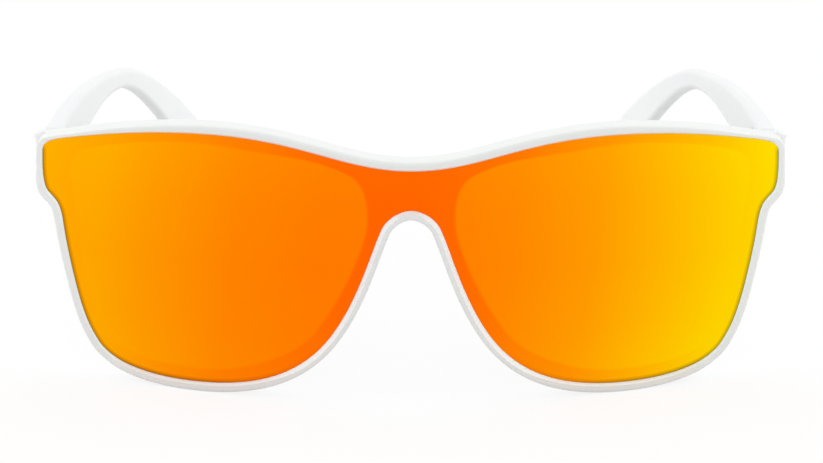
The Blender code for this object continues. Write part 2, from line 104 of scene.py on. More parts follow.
# Lens seat and rim section. CREST gives shares of the rim's width in general and beside the nose, and a
# share of RIM_PROUD. BEVEL_TURN is how far the edge stands upright where the nose shape starts and is full.
LENS_FIT = 0.0002
SEAT_GAP = 0.0003
LEDGE_THICKNESS = 0.0020
SNAP_LIP = 0.00006
LIP_DEPTH = 0.0003
LIP_RISE = 0.00002
RIM_PROUD = 0.0008
CREST = ((0.08, 0.27, 0.92), (0.20, 0.39, 1.00), (0.88, 0.88, 0.84))
BEVEL_TURN = (0.30, 0.65)
SIDE_DROP = 0.70
RIM_SHOULDER = 0.0005
BACK_ROUND = 0.0008
BACK_LAND = 0.0020
REST_FLAT = 0.0001

# Steps over the rim section, the ledge and the end pieces, and the section rows that bound the bevel
SPAN_STEPS = 5
WALL_STEPS = 7
BACK_ROUND_STEPS = 6
LAND_STEPS = 4
LEDGE_STEPS = 8
EYE_ROUND_STEPS = 5
END_STEPS = 10
ROUND_TURNS = (30, 60, 90)
BEVEL_ROWS = (7, 14)

# Nose bearings
PAD_DEPTH = 0.0050
PAD_SPLAY = 0.0012
PAD_HALF_LENGTH = 0.0140
PAD_MIDDLE = -0.17
PAD_SLOPE = 0.8

# End pieces
END_LENGTH = 0.0088
END_PAST = 0.00125
END_BOTTOM = 0.058
END_TOP = 0.260
END_CORNERS = (0.0014, 0.0010, 0.0008, 0.0008)
END_BULGE = 0.0015
END_CHAMFER = 0.0003
END_ROOT_DEPTH = 0.0030
PARTING_GAP = 0.0003

# Arms in side view: back, up, heading, reach before, reach after
ARM_PATH = (
    (0.0000, 0.1438, 0, 0.0000, 0.3135),
    (0.5051, 0.1116, -7.5, 0.1422, 0.1823),
    (1.0000, -0.6690, -46, 0.1222, 0.0000),
)
ARM_STEPS = 90
ARM_TOE_IN = 0.0190
ARM_TOE_POWER = 2.2
ARM_HEIGHT = 0.0100
ARM_NECK = 0.0045
ARM_HOOK = 0.0123
ARM_TAPER_POWER = 1.56
ARM_FLARE = 0.97
ARM_THICKNESS = 0.0039
ARM_THIN = 0.0029
ARM_CORNER = 0.0012
CORNER_LIMIT = 0.42
CORNER_STEPS = 8
SIDE_STEPS = 10
ARM_CROWN = 0.00025
CROWN_FULL = 0.0080
ARM_CHAMFER = 0.0003
TIP_ROUND = 0.0060
TIP_THIN = 0.35
TIP_STEPS = 14
TIP_PAST = 0.0018

# Hinge seats, measured from the hinge axis
HINGE_INSET = 0.0016
HINGE_LIFT = 0.0002
BARREL_HALF = 0.00095
BARREL_SPLIT = 0.0001
LEAF_INNER = 0.0013
LEAF_OUTER = 0.0021
FRAME_LEAF_END = 0.0052
ARM_LEAF_END = 0.0086
ARM_LEAF_HALF = 0.0026
BARB_HALF = 0.0015
BARB_DEPTH = 0.0015
BARB_TOOTH = 0.00025
BARB_ROOT = 0.0001
FRAME_BARB = (0.0023, 0.0043)
ARM_BARB = (0.0034, 0.0066)
POCKET_GAP = 0.0003
CUT_PAST = 0.0010

# Places that follow from the sizes
LENS_SCALE = np.array((LENS_WIDTH, LENS_HEIGHT))
EYE_CENTRE = np.array(EYE_MIDDLE) * LENS_SCALE
SEAT_DEPTH = LENS_THICKNESS + SEAT_GAP
BACK_DEPTH = SEAT_DEPTH + LEDGE_THICKNESS
LENS_SIDE = LENS_WIDTH / 2
END_OUTER = LENS_SIDE + END_PAST
END_INNER = END_OUTER - ARM_THICKNESS
ARM_ACROSS = END_OUTER - ARM_THICKNESS / 2
PARTING_BACK = WRAP_RADIUS - math.sqrt(WRAP_RADIUS ** 2 - LENS_SIDE ** 2) + END_LENGTH
ARM_START = PARTING_BACK + PARTING_GAP / 2
AXIS_ACROSS = END_INNER - HINGE_INSET
HINGE_UP = ARM_PATH[0][1] * LENS_HEIGHT + HINGE_LIFT
FRAME_LEAF_HALF = 3 * BARREL_HALF + BARREL_SPLIT
FLOOR_DROP = LENS_FOOT * LENS_HEIGHT + RIM_WIDTH - REST_FLAT
CENTRE_BACK = (ARM_START + ARM_REACH + TIP_PAST - RIM_PROUD) / 2

# Meshes: how near two halves join, the angles in degrees up to which they are shaded smooth, and the
# width of the softened edges on the hinges
MERGE_DISTANCE = 0.000001
PLASTIC_SMOOTH = 38
LENS_SMOOTH = 30
HINGE_SOFT_EDGE = 0.00006

# The two shades that each finish drifts between, and the span of a noise value that spreads them.
# The front's white carries a faint painted green that offsets the orange light the lens throws on it.
# The bevel beside the lens is painted lighter and cooler: a painted highlight that offsets it more.
NOISE_SPAN = (0.3, 0.7)
FRONT_SHADES = ((0.853, 0.875, 0.861), (0.868, 0.886, 0.869))
BEVEL_HIGHLIGHT_SHADES = ((0.880, 0.972, 0.975), (0.892, 0.982, 0.985))
ARM_SHADES = ((0.866, 0.886, 0.893), (0.881, 0.897, 0.897))
BACK_SHADES = ((0.080, 0.045, 0.024), (0.090, 0.052, 0.028))
STEEL_SHADES = ((0.50, 0.51, 0.53), (0.62, 0.63, 0.64))

# Mirror coating: place across and green of the open lens as a screen shade, how far the colours lean
# with height, and the share of green at each share of the height
MIRROR_GREEN = (
    (-0.070, 181), (-0.060, 176), (-0.050, 161), (-0.034, 140), (-0.018, 131), (0.000, 131),
    (0.018, 144), (0.034, 164), (0.050, 197), (0.070, 233),
)
MIRROR_LEAN = 0.12
MIRROR_WAIST = ((0.0, 1.0), (0.25, 0.9), (0.5, 0.86), (0.75, 0.9), (1.0, 1.0))

# Colour of the coating where it is seen at a very flat angle
GLANCING_TINT = (1.0, 0.42, 0.04, 1.0)

# Painted shade where the ledge behind the lens blocks the light through it: place across and share of
# green, lean and softness of its edge
LEDGE_SHADE_GREEN = (
    (0.0075, 0.63), (0.0165, 0.69), (0.0235, 0.79), (0.038, 0.835), (0.055, 0.885), (0.067, 0.985),
)
LEDGE_LEAN = 0.25
LEDGE_SOFT = 0.0004

# Lens rings from the eye centre: shares of the opening, steps over the ledge's soft edge, shares of the
# way to the shaded edge and shares of the way over it
OPENING_RINGS = (0.12, 0.25, 0.38, 0.5, 0.62, 0.74, 0.85, 0.94)
LEDGE_RINGS = (-1.0, -0.5, 0.0, 0.5, 1.0)
LAND_RINGS = (0.35, 0.7, 1.0)
EDGE_RINGS = (0.25, 0.5, 0.75, 1.0)
LENS_BEVEL = 0.0001

# Shade along the outer and lower lens edge: its reach, the least that the reach is divided by where the
# rings run at a slant, its depth, where across it starts and is full, and how fast it fades to the top
SHADE_REACH = 0.0009
SHADE_SLANT = 0.5
SHADE_DEPTH = 0.54
SHADE_ACROSS = (0.016, 0.040)
SHADE_TOP = 1.6

# Camera, fitted to the picture: place from the lens middle, then pitch, roll and turn in degrees
CAMERA_PLACE = (-0.0023, -0.4006, 0.1263)
CAMERA_TURN = (72.5, -0.18, -0.28)
CAMERA_FOCAL = 99.26
SENSOR_WIDTH = 36.0

# Floor: half its width, its height, how much light it throws back, and the matt and glowing shares that
# are seen. The room's light is its strength for the object, and it is seen as plain white.
FLOOR_REACH = 8.0
FLOOR_LEVEL = -0.00002
FLOOR_BOUNCE = 0.70
FLOOR_SHADOW = 0.16
FLOOR_GLOW = 0.838
ROOM_LIGHT = 0.575

# Soft distant lamps: name, direction towards it, spread in degrees and strength
LAMPS = (
    ("front", (0.0, -1.0, 0.20), 60, 0.62),
    ("side_left", (-0.88, 0.22, 0.30), 80, 1.55),
    ("side_right", (0.88, 0.22, 0.30), 80, 1.58),
    ("top", (0.0, 0.10, 1.0), 60, 0.22),
)


def sag(across, up):
    """How far the lens front falls back from its middle."""
    side = WRAP_RADIUS - np.sqrt(WRAP_RADIUS ** 2 - across ** 2)
    return side + up ** 2 / (2 * FACE_RADIUS)


def world(across, back, up):
    """Places measured from the lens middle, set in the shared frame."""
    return np.stack([across, back - CENTRE_BACK, up + FLOOR_DROP], axis=-1)


def on_front(points, depth):
    """World points at a depth behind the lens front, kept above the floor."""
    across = points[:, 0]
    up = np.maximum(points[:, 1], -FLOOR_DROP)
    return world(across, sag(across, up) + depth, up)


def heading(degrees):
    return np.array([math.cos(math.radians(degrees)), math.sin(math.radians(degrees))])


def curve(start, end, scale, steps):
    """Points and directions between two rows of a drawn curve, without the last point."""
    p0 = np.array(start[:2]) * scale
    p3 = np.array(end[:2]) * scale
    p1 = p0 + start[4] * scale[0] * heading(start[2])
    p2 = p3 - end[3] * scale[0] * heading(end[2])
    t = (np.arange(steps) / steps)[:, None]
    points = (1 - t) ** 3 * p0 + 3 * (1 - t) ** 2 * t * p1 + 3 * (1 - t) * t ** 2 * p2 + t ** 3 * p3
    slopes = (1 - t) ** 2 * (p1 - p0) + 2 * (1 - t) * t * (p2 - p1) + t ** 2 * (p3 - p2)
    return points, slopes / np.linalg.norm(slopes, axis=1)[:, None]


def lens_edge():
    """Points, outward directions and rim widths along the right half of the lens edge."""
    points = []
    outward = []
    widths = []
    for start, end in zip(LENS_EDGE[:-1], LENS_EDGE[1:]):
        steps = start[6] * EDGE_DENSITY
        p, d = curve(start, end, LENS_SCALE, steps)
        points.append(p)
        outward.append(np.stack([-d[:, 1], d[:, 0]], axis=1))
        widths.append(start[5] + (end[5] - start[5]) * np.arange(steps) / steps)
    points.append(np.array([LENS_EDGE[-1][:2]]) * LENS_SCALE)
    outward.append(np.array([[0.0, -1.0]]))
    widths.append(np.array([LENS_EDGE[-1][5]]))
    return np.vstack(points), np.vstack(outward), np.concatenate(widths) * RIM_WIDTH


def with_bridge(points):
    """Closes a half outline with points up the middle plane, nose to top."""
    rise = np.linspace(points[-1, 1], points[0, 1], BRIDGE_STEPS + 2)[1:-1]
    return np.vstack([points, np.stack([np.zeros_like(rise), rise], axis=1)])


def eye_reach(targets):
    """Directions from the eye centre to the targets and the eye opening's reach along them."""
    rows = EYE_EDGE + EYE_EDGE[:1]
    spans = [curve(a, b, LENS_SCALE, EYE_STEPS)[0] for a, b in zip(rows[:-1], rows[1:])]
    around = np.vstack(spans) - EYE_CENTRE
    angles = np.arctan2(around[:, 1], around[:, 0])
    order = np.argsort(angles)
    radii = np.linalg.norm(around, axis=1)[order]
    aim = targets - EYE_CENTRE
    turn = np.arctan2(aim[:, 1], aim[:, 0])
    reach = np.interp(turn, angles[order], radii, period=2 * math.pi)
    return np.stack([np.cos(turn), np.sin(turn)], axis=1), reach


class Shell:
    """Vertices and faces of one mesh, gathered row by row, with a finish number for each face."""

    def __init__(self):
        self.vertices = []
        self.faces = []
        self.finishes = []
        self.finish = 0

    def row(self, points):
        first = len(self.vertices)
        self.vertices.extend(tuple(p) for p in points)
        return list(range(first, len(self.vertices)))

    def add(self, face):
        self.faces.append(face)
        self.finishes.append(self.finish)

    def strip(self, a, b, closed):
        count = len(a)
        for i in range(count if closed else count - 1):
            j = (i + 1) % count
            self.add((a[i], a[j], b[j], b[i]))

    def strips(self, rows, closed):
        for a, b in zip(rows[:-1], rows[1:]):
            self.strip(a, b, closed)

    def fan(self, row, centre, flip):
        count = len(row)
        for i in range(count):
            j = (i + 1) % count
            self.add((row[j], row[i], centre) if flip else (row[i], row[j], centre))

    def face(self, row, flip):
        self.add(tuple(reversed(row)) if flip else tuple(row))

    def as_object(self, name, side=1):
        vertices = [(side * x, y, z) for x, y, z in self.vertices]
        faces = [tuple(reversed(f)) for f in self.faces] if side < 0 else self.faces
        mesh = bpy.data.meshes.new(name)
        mesh.from_pydata(vertices, [], faces)
        for _ in range(max(self.finishes) + 1):
            mesh.materials.append(None)
        mesh.polygons.foreach_set("material_index", self.finishes)
        made = bpy.data.objects.new(name, mesh)
        bpy.context.scene.collection.objects.link(made)
        return made


def combine(target, tool, operation):
    modifier = target.modifiers.new(tool.name, "BOOLEAN")
    modifier.operation = operation
    modifier.solver = "EXACT"
    modifier.object = tool


def settle(target, tools, sharp):
    """Applies a piece's modifiers, drops its tools and shades it smooth up to an angle."""
    depsgraph = bpy.context.evaluated_depsgraph_get()
    mesh = bpy.data.meshes.new_from_object(target.evaluated_get(depsgraph))
    target.modifiers.clear()
    old = target.data
    target.data = mesh
    bpy.data.meshes.remove(old)
    mesh.name = target.name
    for tool in tools:
        bpy.data.meshes.remove(tool.data)
    mesh.shade_smooth()
    mesh.set_sharp_from_angle(angle=math.radians(sharp))


def between(a, b, share):
    return a + (b - a) * share


def ease(t):
    return t * t * (3 - 2 * t)


def pad_share(points):
    """How much of the nose bearing stands at each point of the edge, from 0 to 1."""
    reach = np.abs(points[:, 1] - PAD_MIDDLE * LENS_HEIGHT) / PAD_HALF_LENGTH
    share = (1 - np.clip(reach, 0, 1) ** 3) ** 2
    return np.where(points[:, 0] < EYE_CENTRE[0], share, 0.0)


def rim_rows(edge, outward, width):
    """Rim section round the half outline, from the seat over the crest to the back face."""
    pad = pad_share(edge)
    flat = np.zeros_like(width)
    fit = flat + LENS_FIT
    rear = width - PAD_SPLAY * pad
    deep = BACK_DEPTH + PAD_DEPTH * pad
    knots = [(fit, flat + LIP_DEPTH), (flat - SNAP_LIP, flat - LIP_RISE)]
    turned = (np.abs(outward[:, 0]) - BEVEL_TURN[0]) / (BEVEL_TURN[1] - BEVEL_TURN[0])
    upright = ease(np.clip(turned, 0, 1))
    inward = outward[:, 0] < 0
    proud = RIM_PROUD * np.where(inward, 1.0, 1 - SIDE_DROP * upright)
    for plain, beside_nose, height in CREST:
        share = np.where(inward, between(plain, beside_nose, upright), plain)
        knots.append((fit + share * (width - LENS_FIT), flat - height * proud))
    knots.append((width, flat + RIM_SHOULDER))
    section = [(fit, flat + SEAT_DEPTH), (fit, flat + 0.5 * SEAT_DEPTH)]
    guarded = [section[-1]] + knots + [(width, deep - BACK_ROUND)]
    for before, a, b, after in zip(guarded[:-3], guarded[1:-2], guarded[2:-1], guarded[3:]):
        for t in np.arange(SPAN_STEPS) / SPAN_STEPS:
            section.append(tuple(spline(before[i], a[i], b[i], after[i], t) for i in (0, 1)))
    for t in np.arange(WALL_STEPS) / WALL_STEPS:
        section.append((between(width, rear, t), between(flat + RIM_SHOULDER, deep - BACK_ROUND, t)))
    for turn in np.linspace(0, 90, BACK_ROUND_STEPS + 1):
        out, drop = BACK_ROUND * (1 - heading(turn))
        section.append((rear - out, deep - drop))
    for t in np.arange(1, LAND_STEPS + 1) / LAND_STEPS:
        land = between(rear - BACK_ROUND, rear - BACK_LAND, t)
        section.append((land, between(deep, BACK_DEPTH + PAD_SLOPE * PAD_DEPTH * pad, ease(t))))
    return [(edge + outward * out[:, None], depth) for out, depth in section]


def spline(before, a, b, after, t):
    """A point on a smooth curve from a to b, led by the points around them."""
    lead = (b - before) / 2
    trail = (after - a) / 2
    rest = 1 - t
    leaving = a * (1 + 2 * t) * rest ** 2 + lead * t * rest ** 2
    return leaving + b * (3 - 2 * t) * t ** 2 - trail * rest * t ** 2


def build_front():
    """Moulded front: rim, ledge and eye openings, joined to the end pieces."""
    edge, outward, width = lens_edge()
    shell = Shell()
    section = rim_rows(edge, outward, width)
    rows = [shell.row(on_front(points, depth)) for points, depth in section]
    start, stop = BEVEL_ROWS
    shell.strips(rows[:start + 1], False)
    shell.strips(rows[stop:], False)
    # The bevel rows take the second finish, painted lighter and cooler as a highlight
    shell.finish = 1
    shell.strips(rows[start:stop + 1], False)
    shell.finish = 0
    count = len(edge)
    seat = with_bridge(section[0][0])
    aim, reach = eye_reach(seat)
    eye = EYE_CENTRE + aim * reach[:, None]
    wide = EYE_CENTRE + aim * (reach + EYE_EDGE_ROUND)[:, None]
    land = with_bridge(section[-1][0])
    rise = np.concatenate([section[-1][1], np.full(BRIDGE_STEPS, BACK_DEPTH)]) - BACK_DEPTH
    back = [rows[-1] + shell.row(on_front(land[count:], BACK_DEPTH))]
    for t in np.linspace(0, 1, LEDGE_STEPS + 1)[1:]:
        back.append(shell.row(on_front(between(land, wide, t), BACK_DEPTH + rise * (1 - ease(t)))))
    for turn in np.linspace(0, 90, EYE_ROUND_STEPS + 1)[1:]:
        out, drop = EYE_EDGE_ROUND * (1 - heading(90 - turn))
        round_edge = EYE_CENTRE + aim * (reach + out)[:, None]
        back.append(shell.row(on_front(round_edge, BACK_DEPTH - drop)))
    back.append(shell.row(on_front(eye, SEAT_DEPTH)))
    back.append(shell.row(on_front(between(eye, seat, 0.5), SEAT_DEPTH)))
    back.append(rows[0] + shell.row(on_front(seat[count:], SEAT_DEPTH)))
    shell.strips(back, True)
    front = shell.as_object("moulded_front")
    front.modifiers.new("other half", "MIRROR").merge_threshold = MERGE_DISTANCE
    tools = []
    for side in (1, -1):
        tools.append(build_end_piece(side))
        combine(front, tools[-1], "UNION")
    for side in (1, -1):
        tools += cut_pocket(front, side, -1)
    settle(front, tools, PLASTIC_SMOOTH)
    return front


def rounded_section(height, thick, corners):
    """Rounded section as outward and upward offsets, with a crowned outer side."""
    spots = ((1, 1, 90), (1, -1, 0), (-1, -1, -90), (-1, 1, 180))
    points = []
    for (out, up, start), radius in zip(spots, corners):
        radius = min(radius, CORNER_LIMIT * thick, CORNER_LIMIT * height)
        centre = np.array([out * (thick / 2 - radius), up * (height / 2 - radius)])
        for k in range(CORNER_STEPS + 1):
            points.append(centre + radius * heading(start - 90 * k / CORNER_STEPS))
    points = np.array(points)
    turn = CORNER_STEPS + 1
    crown = ARM_CROWN * min(1.0, height / CROWN_FULL)
    t = (np.arange(1, SIDE_STEPS) / SIDE_STEPS)[:, None]
    outer = between(points[turn - 1], points[turn], t)
    outer[:, 0] += crown * (1 - (2 * t[:, 0] - 1) ** 2)
    inner = between(points[3 * turn - 1], points[3 * turn], t)
    return np.vstack([points[:turn], outer, points[turn:3 * turn], inner, points[3 * turn:]])


def build_end_piece(side):
    """Block that carries the frame half of a hinge, drawn down to the arm."""
    bottom = END_BOTTOM * LENS_HEIGHT
    top = END_TOP * LENS_HEIGHT
    root = rounded_section(top - bottom, ARM_THICKNESS, END_CORNERS) + (ARM_ACROSS, (top + bottom) / 2)
    middle = np.array((ARM_ACROSS, ARM_PATH[0][1] * LENS_HEIGHT))
    rear = rounded_section(ARM_HEIGHT, ARM_THICKNESS, [ARM_CORNER] * 4) + middle
    back = PARTING_BACK - PARTING_GAP / 2
    shell = Shell()
    hub = shell.row(on_front(root.mean(axis=0)[None], END_ROOT_DEPTH))[0]
    start = on_front(root, END_ROOT_DEPTH)
    stop = world(rear[:, 0], np.full(len(rear), back - END_CHAMFER), rear[:, 1])
    lift = (root[:, 1] - bottom) / (top - bottom)
    rows = []
    for t in np.linspace(0, 1, END_STEPS + 1):
        ring = between(start, stop, t)
        swell = END_BULGE * lift ** 3 * 4 * t * (1 - t)
        ring[:, 0] += swell * (ring[:, 0] - END_INNER) / ARM_THICKNESS
        rows.append(shell.row(ring))
    for turn in ROUND_TURNS:
        out, drop = END_CHAMFER * (1 - heading(turn))
        corners = [ARM_CORNER - out] * 4
        ring = rounded_section(ARM_HEIGHT - 2 * out, ARM_THICKNESS - 2 * out, corners) + middle
        rows.append(shell.row(world(ring[:, 0], np.full(len(ring), back - drop), ring[:, 1])))
    shell.fan(rows[0], hub, True)
    shell.strips(rows, True)
    shell.face(rows[-1], False)
    return shell.as_object("end_piece_tool", side)


def arm_stations():
    """Centre, direction, height and thickness along the arm in side view."""
    scale = np.array((ARM_REACH, LENS_HEIGHT))
    first, d_first = curve(ARM_PATH[0], ARM_PATH[1], scale, ARM_STEPS)
    second, d_second = curve(ARM_PATH[1], ARM_PATH[2], scale, ARM_STEPS)
    points = np.vstack([first, second, [ARM_PATH[2][:2] * scale]]) + (ARM_START, 0.0)
    along = np.vstack([d_first, d_second, [heading(ARM_PATH[2][2])]])
    steps = np.linalg.norm(np.diff(points, axis=0), axis=1)
    run = np.concatenate([[0.0], np.cumsum(steps)])
    bend = run[ARM_STEPS]
    taper = np.clip(run / bend, 0, 1)
    flare = np.clip((run - bend) / (run[-1] - bend) / ARM_FLARE, 0, 1)
    ease_down = (1 + np.cos(math.pi * taper ** ARM_TAPER_POWER)) / 2
    height = ARM_NECK + (ARM_HEIGHT - ARM_NECK) * ease_down
    height = height + (ARM_HOOK - ARM_NECK) * np.sin(flare * math.pi / 2) ** 2
    thick = ARM_THICKNESS + (ARM_THIN - ARM_THICKNESS) * taper
    return points, along, run, height, thick


def build_arm(side):
    """Arm swept along its path, with a rounded front edge, a rounded tip and a hinge pocket."""
    points, along, run, height, thick = arm_stations()
    across = ARM_ACROSS - ARM_TOE_IN * ((points[:, 0] - ARM_START) / ARM_REACH) ** ARM_TOE_POWER
    total = run[-1]
    lead = ARM_CHAMFER * (1 - np.cos(np.radians((0,) + ROUND_TURNS)))
    stops = np.concatenate([
        lead,
        run[(run > 2 * ARM_CHAMFER) & (run < total - TIP_ROUND)],
        total - TIP_ROUND * (1 - np.sin(np.arange(TIP_STEPS) / TIP_STEPS * math.pi / 2)),
    ])
    shell = Shell()
    rows = []
    for stop in stops:
        back = np.interp(stop, run, points[:, 0])
        up = np.interp(stop, run, points[:, 1])
        out = np.interp(stop, run, across)
        ahead = np.array([np.interp(stop, run, along[:, 0]), np.interp(stop, run, along[:, 1])])
        ahead = ahead / np.linalg.norm(ahead)
        past = (stop - (total - TIP_ROUND)) / TIP_ROUND
        shrink = math.sqrt(max(0.0, 1 - max(0.0, past) ** 2))
        near = max(0.0, 1 - stop / ARM_CHAMFER)
        trim = 2 * ARM_CHAMFER * (1 - math.sqrt(1 - near ** 2))
        tall = np.interp(stop, run, height) * shrink - trim
        wide = np.interp(stop, run, thick) * (TIP_THIN + (1 - TIP_THIN) * shrink) - trim
        ring = rounded_section(tall, wide, [ARM_CORNER] * 4)
        rise = ring[:, 1]
        row_up = np.maximum(up + rise * ahead[0], -FLOOR_DROP)
        rows.append(shell.row(world(out + ring[:, 0], back - rise * ahead[1], row_up)))
    shell.face(rows[0], False)
    for a, b in zip(rows[:-1], rows[1:]):
        shell.strip(b, a, True)
    tip_up = np.maximum(points[-1:, 1], -FLOOR_DROP)
    tip = shell.row(world(across[-1:], points[-1:, 0], tip_up))[0]
    shell.fan(rows[-1], tip, True)
    arm = shell.as_object("moulded_arm_" + hand(side), side)
    settle(arm, cut_pocket(arm, side, 1), PLASTIC_SMOOTH)
    return arm


def hand(side):
    return "right" if side > 0 else "left"


def prism(shell, inner, outer, start, end, half):
    """Adds an upright block measured from a hinge axis."""
    low, high = sorted((start, end))
    out = AXIS_ACROSS + np.array((inner, outer, outer, inner))
    back = PARTING_BACK + np.array((low, low, high, high))
    below = shell.row(world(out, back, np.full(4, HINGE_UP - half)))
    above = shell.row(world(out, back, np.full(4, HINGE_UP + half)))
    shell.face(below, True)
    shell.strip(below, above, True)
    shell.face(above, False)


def cut_pocket(target, side, direction):
    """Cuts the seat of a hinge half into the plastic."""
    of_arm = direction > 0
    half = (ARM_LEAF_HALF if of_arm else FRAME_LEAF_HALF) + POCKET_GAP
    end = (ARM_LEAF_END if of_arm else FRAME_LEAF_END) + POCKET_GAP
    near, far = ARM_BARB if of_arm else FRAME_BARB
    grow = BARB_TOOTH + POCKET_GAP
    plate = Shell()
    plate_deep = LEAF_OUTER + POCKET_GAP
    prism(plate, LEAF_INNER - CUT_PAST, plate_deep, -direction * CUT_PAST, direction * end, half)
    pocket = plate.as_object("pocket_tool", side)
    root = Shell()
    root_deep = LEAF_OUTER - BARB_ROOT + BARB_DEPTH + POCKET_GAP
    root_half = BARB_HALF + POCKET_GAP
    prism(root, LEAF_INNER, root_deep, direction * (near - grow), direction * (far + grow), root_half)
    barbs = root.as_object("barb_tool", side)
    combine(pocket, barbs, "UNION")
    combine(target, pocket, "DIFFERENCE")
    return [pocket, barbs]


def build_lens():
    """Lens with a coated front, a cut edge and a tinted back."""
    edge, outward = lens_edge()[:2]
    count = len(edge)
    rim = with_bridge(edge - outward * LENS_BEVEL)
    aim, reach = eye_reach(rim)
    full = np.linalg.norm(rim - EYE_CENTRE, axis=1)
    square = np.ones(len(rim))
    square[:count] = np.clip((aim[:count] * outward).sum(axis=1), SHADE_SLANT, 1)
    inset = full - SHADE_REACH / square
    side = (edge[:, 0] - SHADE_ACROSS[0]) / (SHADE_ACROSS[1] - SHADE_ACROSS[0])
    shade = np.zeros(len(rim))
    shade[:count] = np.clip(side, 0, 1) * np.clip(1 - SHADE_TOP * outward[:, 1], 0, 1)
    steps = [reach * t for t in OPENING_RINGS]
    steps += [reach + LEDGE_SOFT * t for t in LEDGE_RINGS]
    steps += [between(reach + LEDGE_SOFT, inset, t) for t in LAND_RINGS]
    steps += [between(inset, full, t) for t in EDGE_RINGS]
    rings = [EYE_CENTRE + aim * r[:, None] for r in steps]
    shell = Shell()
    middle = EYE_CENTRE[None]
    front_middle = shell.row(on_front(middle, 0.0))[0]
    back_middle = shell.row(on_front(middle, LENS_THICKNESS))[0]
    front = [shell.row(on_front(r, 0.0)) for r in rings]
    shell.fan(front[0], front_middle, True)
    shell.strips(front, True)
    back = [shell.row(on_front(r, LENS_THICKNESS)) for r in rings]
    wall = [shell.row(on_front(edge, d)) for d in (LENS_BEVEL, LENS_THICKNESS - LENS_BEVEL)]
    shell.finish = 1
    shell.strips([front[-1][:count]] + wall + [back[-1][:count]], False)
    shell.finish = 2
    shell.strips(back[::-1], True)
    shell.fan(back[0], back_middle, False)
    lens = shell.as_object("coated_lens")
    # Masks for painted shade: where the ledge behind the lens blocks light, and along the outer and lower
    # edge
    ledge = np.ones(len(shell.vertices))
    ledge[[front_middle, back_middle]] = 0.0
    dark = np.zeros(len(shell.vertices))
    for rows in (front, back):
        for row, r in zip(rows, steps):
            ledge[row] = ease(np.clip((r - reach) / (2 * LEDGE_SOFT) + 0.5, 0, 1))
            dark[row] = shade * np.clip((r - inset) / (full - inset), 0, 1)
    for row in wall:
        dark[row] = shade[:count]
    for name, values in (("ledge", ledge), ("edge_shade", dark)):
        lens.data.attributes.new(name, "FLOAT", "POINT").data.foreach_set("value", values)
    lens.modifiers.new("other half", "MIRROR").merge_threshold = MERGE_DISTANCE
    settle(lens, [], LENS_SMOOTH)
    return lens


class Finish:
    """One node material, with short calls for its nodes and links."""

    def __init__(self, name):
        self.material = bpy.data.materials.new(name)
        self.material.use_nodes = True
        self.tree = self.material.node_tree
        self.shader = self.tree.nodes["Principled BSDF"]
        self.place = self.node("ShaderNodeTexCoord").outputs["Object"]

    def node(self, kind, **values):
        made = self.tree.nodes.new(kind)
        for name, value in values.items():
            setattr(made, name, value)
        return made

    def link(self, source, target):
        self.tree.links.new(source, target)

    def set(self, **values):
        for name, value in values.items():
            self.shader.inputs[name.replace("_", " ")].default_value = value

    def noise(self, scale, detail, stretch=None):
        made = self.node("ShaderNodeTexNoise")
        made.inputs["Scale"].default_value = scale
        made.inputs["Detail"].default_value = detail
        place = self.place
        if stretch:
            mapping = self.node("ShaderNodeMapping")
            mapping.inputs["Scale"].default_value = stretch
            self.link(place, mapping.inputs["Vector"])
            place = mapping.outputs["Vector"]
        self.link(place, made.inputs["Vector"])
        return made.outputs["Fac"]

    def spread(self, source, low, high, at=NOISE_SPAN):
        """Maps a value from the span given onto a range."""
        made = self.node("ShaderNodeMapRange")
        made.inputs["From Min"].default_value = at[0]
        made.inputs["From Max"].default_value = at[1]
        made.inputs["To Min"].default_value = low
        made.inputs["To Max"].default_value = high
        self.link(source, made.inputs["Value"])
        return made.outputs["Result"]

    def times(self, a, b):
        made = self.node("ShaderNodeMath", operation="MULTIPLY")
        self.link(a, made.inputs[0])
        self.link(b, made.inputs[1])
        return made.outputs["Value"]

    def ramp(self, source, stops):
        stops = list(stops)
        made = self.node("ShaderNodeValToRGB")
        points = made.color_ramp.elements
        while len(points) < len(stops):
            points.new(0.5)
        for point, (place, colour) in zip(points, stops):
            point.position = place
            point.color = (*colour, 1.0)
        self.link(source, made.inputs["Fac"])
        return made.outputs["Color"]

    def drift(self, source, shades):
        """Drifts between two shades with a noise value."""
        return self.ramp(source, zip(NOISE_SPAN, shades))

    def bump(self, source, strength, distance):
        made = self.node("ShaderNodeBump")
        made.inputs["Strength"].default_value = strength
        made.inputs["Distance"].default_value = distance
        self.link(source, made.inputs["Height"])
        self.link(made.outputs["Normal"], self.shader.inputs["Normal"])

    def feed(self, **sources):
        for name, source in sources.items():
            self.link(source, self.shader.inputs[name.replace("_", " ")])


def linear(shade):
    """Light level of a screen shade from 0 to 255."""
    return ((shade / 255 + 0.055) / 1.055) ** 2.4


def plastic_finish(name, shades):
    """White moulding: a faint drift between two shades, fine mould grain and a soft gloss."""
    finish = Finish(name)
    cloud = finish.noise(scale=70, detail=3)
    grain = finish.noise(scale=1400, detail=4)
    finish.feed(
        Base_Color=finish.drift(cloud, shades),
        Roughness=finish.spread(grain, low=0.28, high=0.36),
    )
    finish.bump(grain, strength=0.02, distance=0.000006)
    finish.set(IOR=1.5)
    return finish.material


